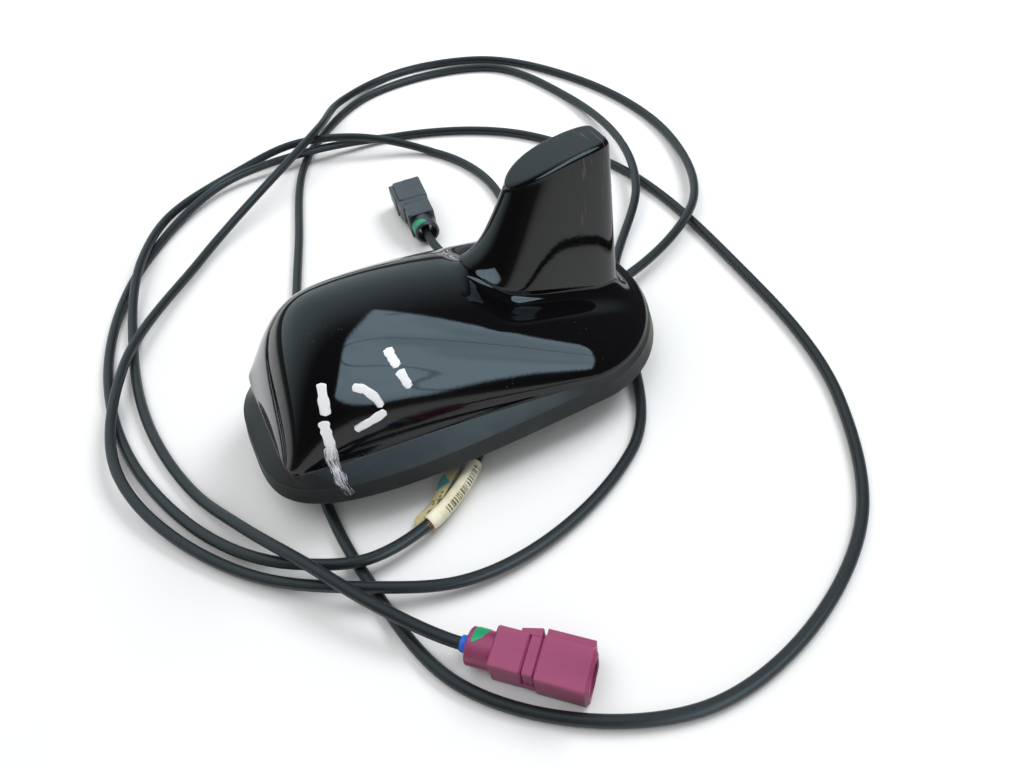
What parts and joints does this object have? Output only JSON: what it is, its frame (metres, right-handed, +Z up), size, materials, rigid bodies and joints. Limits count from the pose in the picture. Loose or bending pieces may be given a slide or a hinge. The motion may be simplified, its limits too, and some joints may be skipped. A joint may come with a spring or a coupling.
{
  "type": "radio antenna",
  "caption": "Shark-fin roof antenna: a glossy domed cover with a fin on a rubber gasket, a hollow shank below, and thin coax leads that end in coded plugs.",
  "frame": {"origin": "under the middle of the housing, on the level of the shank's lower end, where the leads lie", "axes": "+X from the housing's nose to its tail, +Y to the left of the nose-to-tail line, +Z up"},
  "size_m": [0.2228, 0.2958, 0.0645],
  "materials": {
    "gloss_black": "polished",
    "gasket_rubber": "satin",
    "cast_alloy": "cast",
    "grommet_rubber": "matte",
    "screw_steel": "zinc plated",
    "board_green": "solder mask",
    "chip_black": "matte",
    "tin_sheet": "tin plated",
    "gold_plate": "plated",
    "lead_jacket": "satin",
    "label_paper": "matte",
    "sleeve_blue": "matte",
    "plug_bordeaux": "satin",
    "plug_black": "satin",
    "lock_green": "satin",
    "insulator_white": "matte"
  },
  "bodies": {
    "root": {"cover": "gloss_black", "gasket": "gasket_rubber", "base_plate": "cast_alloy", "outlet_grommet": "grommet_rubber", "cover_screws": "screw_steel", "circuit_board": "board_green", "board_screws": "screw_steel", "shield_can": "tin_sheet", "board_parts": "chip_black", "coax_crimps": "gold_plate", "fin_board": "board_green", "contact_spring": "gold_plate", "phone_antenna": "tin_sheet", "radio_cable": "lead_jacket", "phone_cable": "lead_jacket", "cable_label": "label_paper", "marker_sleeve": "sleeve_blue", "phone_plug_body": "plug_bordeaux", "phone_plug_lock": "lock_green", "phone_plug_shell": "gold_plate", "phone_plug_insulator": "insulator_white", "phone_plug_pin": "gold_plate", "phone_plug_ferrule": "screw_steel", "radio_plug_body": "plug_black", "radio_plug_lock": "lock_green", "radio_plug_shell": "gold_plate", "radio_plug_insulator": "insulator_white", "radio_plug_pin": "gold_plate", "radio_plug_ferrule": "screw_steel"}
  },
  "joints": []
}
